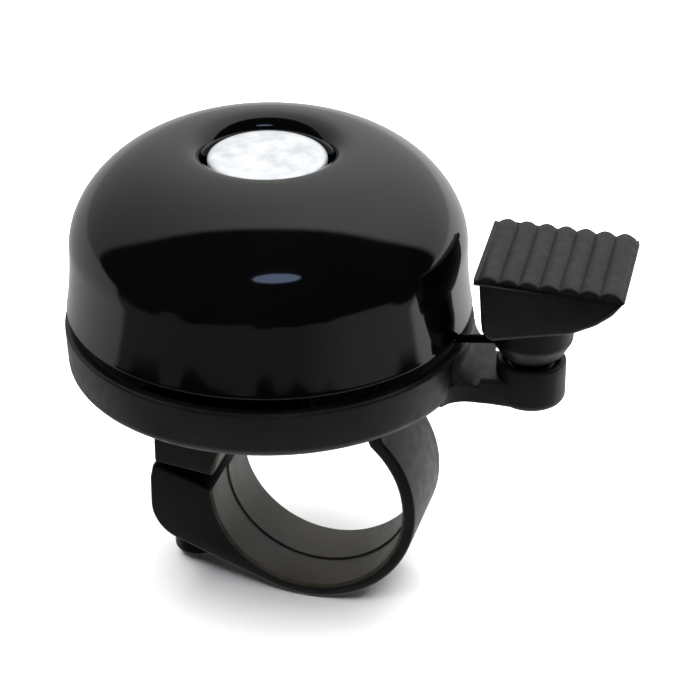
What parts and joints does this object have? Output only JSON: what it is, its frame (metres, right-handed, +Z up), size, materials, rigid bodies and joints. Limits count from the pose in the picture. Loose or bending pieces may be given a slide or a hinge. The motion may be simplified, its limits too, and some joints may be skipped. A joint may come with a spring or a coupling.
{
  "type": "bicycle bell",
  "caption": "Thumb-lever bicycle bell: domed gong over a moulded base, sprung side lever with striker, and a split hooked clamp for a round handlebar.",
  "frame": {"origin": "centre of the clamp's bore, on the handlebar's axis", "axes": "+X towards the thumb lever, +Y along the handlebar, +Z up to the gong"},
  "size_m": [0.0654, 0.047, 0.0551],
  "materials": {
    "enamel": "high-gloss black enamel on steel",
    "nylon": "satin black moulded nylon, fine grain",
    "aluminium": "polished",
    "zinc": "zinc-plated steel",
    "black_steel": "black-oxide steel",
    "spring_steel": "drawn spring steel",
    "brass": "turned",
    "fibre": "red vulcanised fibre"
  },
  "bodies": {
    "base": {"clamp_saddle": "nylon", "clamp_nut": "zinc", "base_plate": "nylon", "base_washer": "zinc", "base_screw": "zinc", "gong_post": "zinc", "gong_washer_lower": "fibre", "gong": "enamel", "gong_washer_upper": "fibre", "gong_lock_washer": "spring_steel", "gong_screw": "zinc", "crown_cap": "aluminium", "return_spring": "spring_steel"},
    "lever": {"thumb_lever": "nylon", "pivot_screw": "zinc", "pivot_washer": "zinc"},
    "striker": {"striker_wire": "spring_steel", "hammer": "brass"},
    "strap": {"clamp_strap": "nylon"},
    "tightener": {"clamp_screw": "black_steel", "clamp_washer": "black_steel"}
  },
  "joints": [
    {"name": "lever_swing", "type": "hinge", "parent": "base", "child": "lever", "pos_m": [0.0247, 0, 0.0197], "axis": [0, 0, 1], "range_deg": [0, 20], "stiffness_Nm_per_rad": 0.05, "springref_deg": -8.59},
    {"name": "hammer_flick", "type": "hinge", "parent": "lever", "child": "striker", "pos_m": [0.02061, -0.00094, 0.0218], "axis": [0, 0, 1], "range_deg": [-1.5, 1.5], "stiffness_Nm_per_rad": 0.1},
    {"name": "strap_close", "type": "hinge", "parent": "base", "child": "strap", "pos_m": [0.007, 0, 0.01212], "axis": [0, 1, 0], "range_deg": [-3, 0.5]},
    {"name": "clamp_screw_draw", "type": "slide", "parent": "base", "child": "tightener", "axis": [0, 0, 1], "range_m": [-0.0012, 0.0002]}
  ],
  "couplings": [
    {"joint": "clamp_screw_draw", "follows": "strap_close", "m_per_rad": 0.0224}
  ]
}
